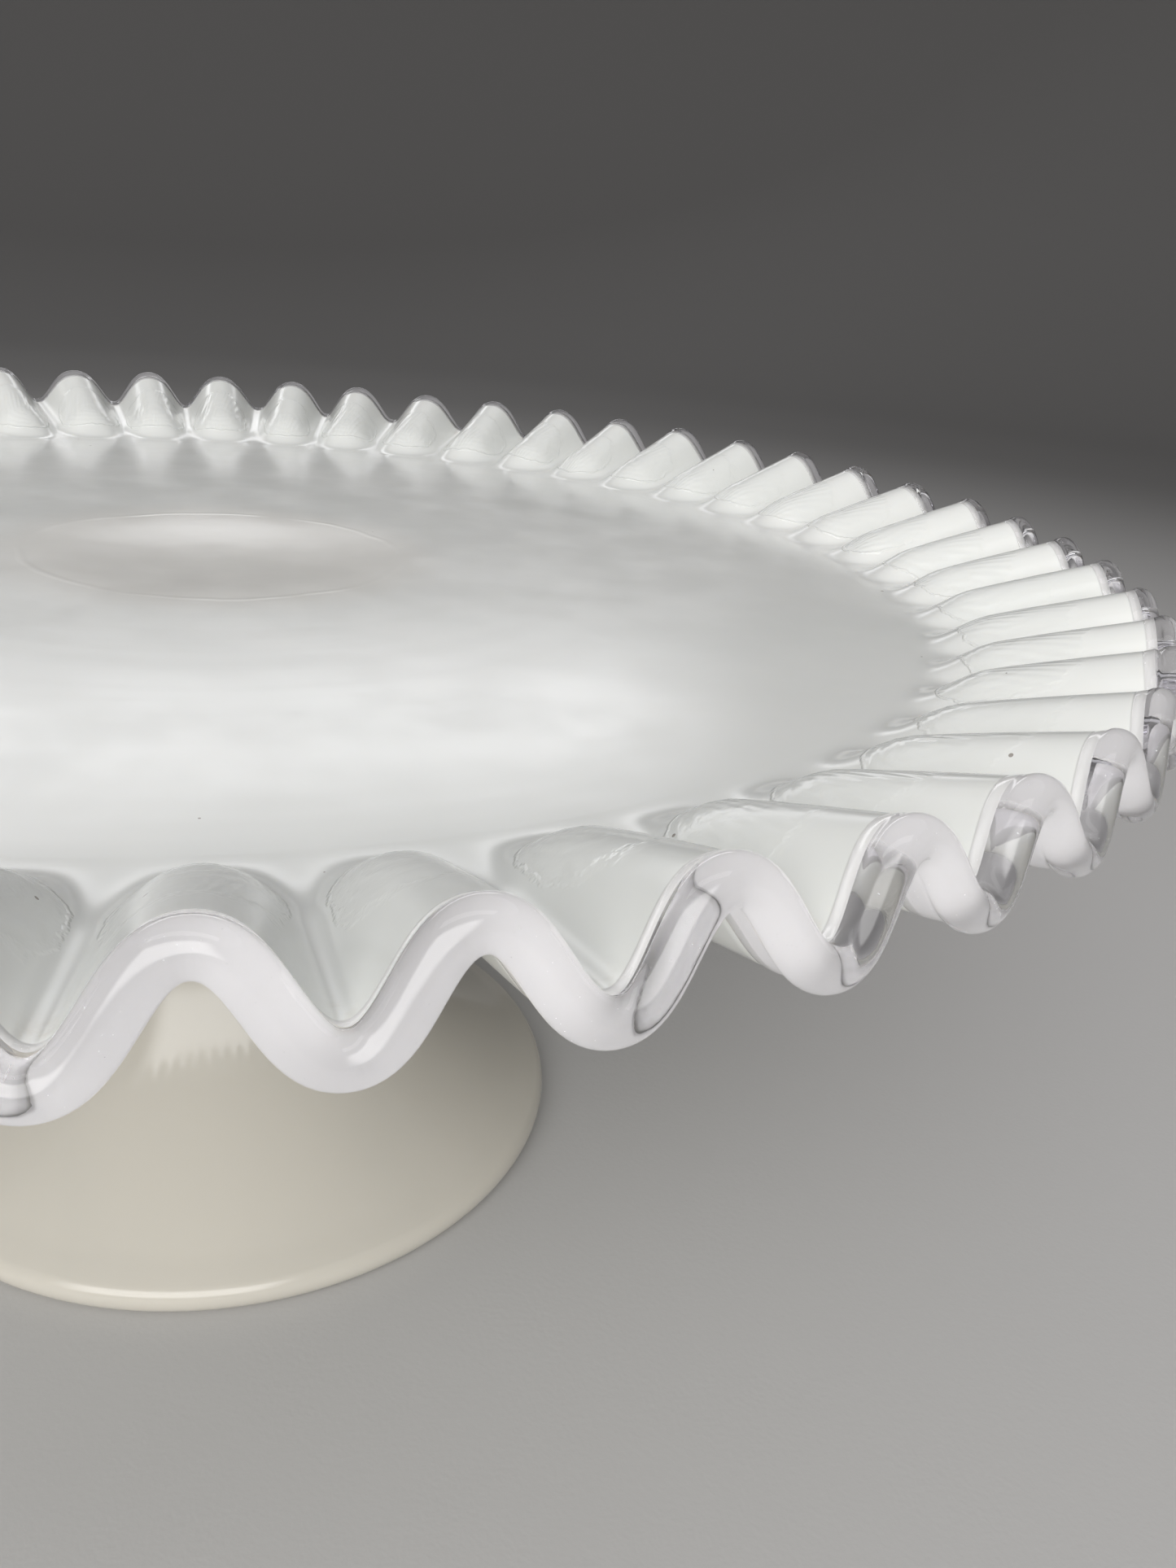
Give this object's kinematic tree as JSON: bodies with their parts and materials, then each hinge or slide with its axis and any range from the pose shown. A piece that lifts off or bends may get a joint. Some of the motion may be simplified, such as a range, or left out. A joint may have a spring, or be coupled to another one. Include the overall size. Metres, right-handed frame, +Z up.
{
  "type": "cake stand",
  "caption": "Milk-glass pedestal cake stand: a round plate with a tightly crimped border, a clear glass crest round its edge, on a hollow trumpet-shaped foot.",
  "frame": {"origin": "centre of the ring that the foot stands on, on the table", "axes": "+Z up along the stem; -Y is the front, where one ridge of the crimping points; +X is to the right"},
  "size_m": [0.33, 0.3292, 0.1316],
  "materials": {
    "milk_glass": "glossy, opaque white",
    "clear_glass": "glossy, clear"
  },
  "bodies": {
    "root": {"plate": "milk_glass", "clear_crest": "clear_glass", "pedestal": "milk_glass"}
  },
  "joints": []
}
